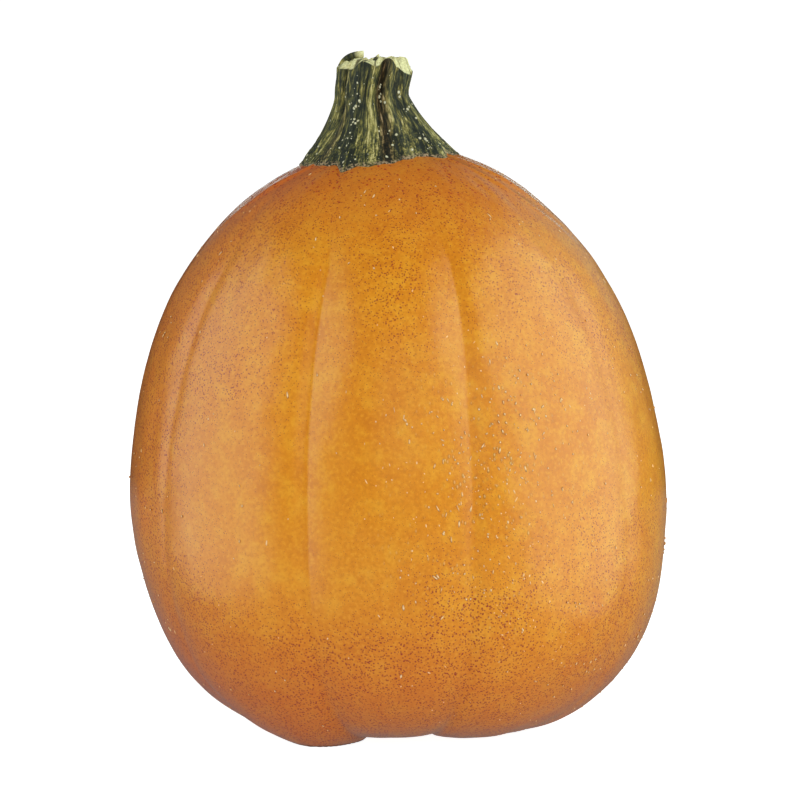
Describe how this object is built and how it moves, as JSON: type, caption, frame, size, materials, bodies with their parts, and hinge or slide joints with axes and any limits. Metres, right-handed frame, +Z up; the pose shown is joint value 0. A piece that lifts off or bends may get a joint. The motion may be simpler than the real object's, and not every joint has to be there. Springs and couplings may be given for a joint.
{
  "type": "pumpkin",
  "caption": "Tall oval pumpkin as picked: a ribbed orange fruit with a ridged woody stem cut off above it, standing on its own lobes.",
  "frame": {"origin": "on the surface the fruit stands on, under the middle of its bounding box", "axes": "+Z up along the fruit towards the stem, -Y towards the side the picture shows, +X to the right in it"},
  "size_m": [0.2378, 0.246, 0.3012],
  "materials": {
    "rind": "smooth waxy orange rind, mottled, with fine red-brown specks",
    "stem": "dark green woody ridges with yellow-green streaks, cream and corky where it is torn"
  },
  "bodies": {
    "root": {"fruit": "rind", "stem": "stem"}
  },
  "joints": []
}
